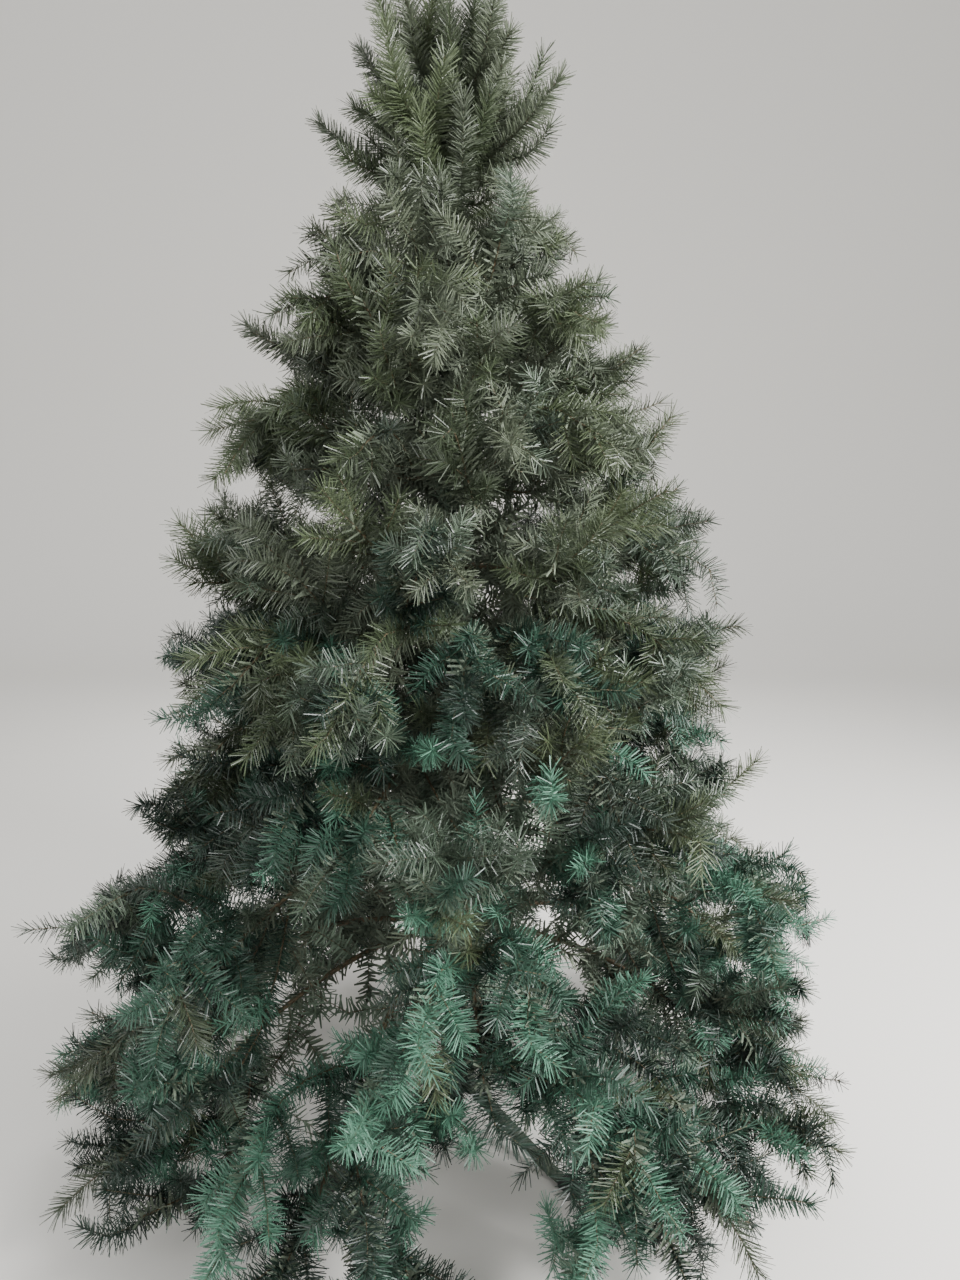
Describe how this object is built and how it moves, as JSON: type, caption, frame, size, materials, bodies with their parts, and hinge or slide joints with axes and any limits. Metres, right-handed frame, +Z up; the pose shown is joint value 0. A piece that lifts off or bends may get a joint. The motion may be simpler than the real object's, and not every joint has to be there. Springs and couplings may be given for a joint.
{
  "type": "artificial christmas tree",
  "caption": "Undecorated artificial Christmas tree: wired needle sprays on hooked boughs round a steel pole, standing in a four-legged stand.",
  "frame": {"origin": "middle of the flat underside of the stand's hub, on the floor", "axes": "+Z up along the pole, +X to the right and -Y to the front as the picture sees the tree"},
  "size_m": [1.742, 1.709, 2.4097],
  "materials": {
    "pole_paint": "satin dark green paint on steel tube",
    "stand_paint": "satin dark green paint on steel",
    "bough_wire": "brown wound plastic strip over steel wire",
    "needles_blue_green": "thin glossy plastic needles, blue-green",
    "needles_olive": "thin glossy plastic needles, olive green"
  },
  "bodies": {
    "root": {"bough_first_1": "bough_wire", "bough_first_2": "bough_wire", "bough_first_3": "bough_wire", "bough_first_4": "bough_wire", "bough_first_5": "bough_wire", "bough_first_6": "bough_wire", "bough_first_7": "bough_wire", "bough_first_8": "bough_wire", "bough_second_1": "bough_wire", "bough_second_2": "bough_wire", "bough_second_3": "bough_wire", "bough_second_4": "bough_wire", "bough_second_5": "bough_wire", "bough_second_6": "bough_wire", "mass_eighth_1": "needles_olive", "mass_eighth_2": "needles_olive", "mass_eighth_3": "needles_olive", "mass_fifth_1": "needles_olive", "mass_fifth_2": "needles_olive", "mass_fifth_3": "needles_olive", "mass_fifth_4": "needles_olive", "mass_fifth_5": "needles_olive", "mass_first_1": "needles_blue_green", "mass_first_2": "needles_blue_green", "mass_first_3": "needles_blue_green", "mass_first_4": "needles_blue_green", "mass_first_5": "needles_blue_green", "mass_first_6": "needles_blue_green", "mass_first_7": "needles_blue_green", "mass_first_8": "needles_blue_green", "mass_fourth_1": "needles_olive", "mass_fourth_2": "needles_olive", "mass_fourth_3": "needles_olive", "mass_fourth_4": "needles_olive", "mass_fourth_5": "needles_olive", "mass_leader": "needles_olive", "mass_second_1": "needles_blue_green", "mass_second_2": "needles_blue_green", "mass_second_3": "needles_blue_green", "mass_second_4": "needles_blue_green", "mass_second_5": "needles_blue_green", "mass_second_6": "needles_blue_green", "mass_seventh_1": "needles_olive", "mass_seventh_2": "needles_olive", "mass_seventh_3": "needles_olive", "mass_sixth_1": "needles_olive", "mass_sixth_2": "needles_olive", "mass_sixth_3": "needles_olive", "mass_sixth_4": "needles_olive", "mass_third_1": "needles_blue_green", "mass_third_2": "needles_blue_green", "mass_third_3": "needles_blue_green", "mass_third_4": "needles_blue_green", "mass_third_5": "needles_blue_green", "pole": "pole_paint", "stand_hub": "stand_paint", "stand_leg_1": "stand_paint", "stand_leg_2": "stand_paint", "stand_leg_3": "stand_paint", "stand_leg_4": "stand_paint"}
  },
  "joints": []
}
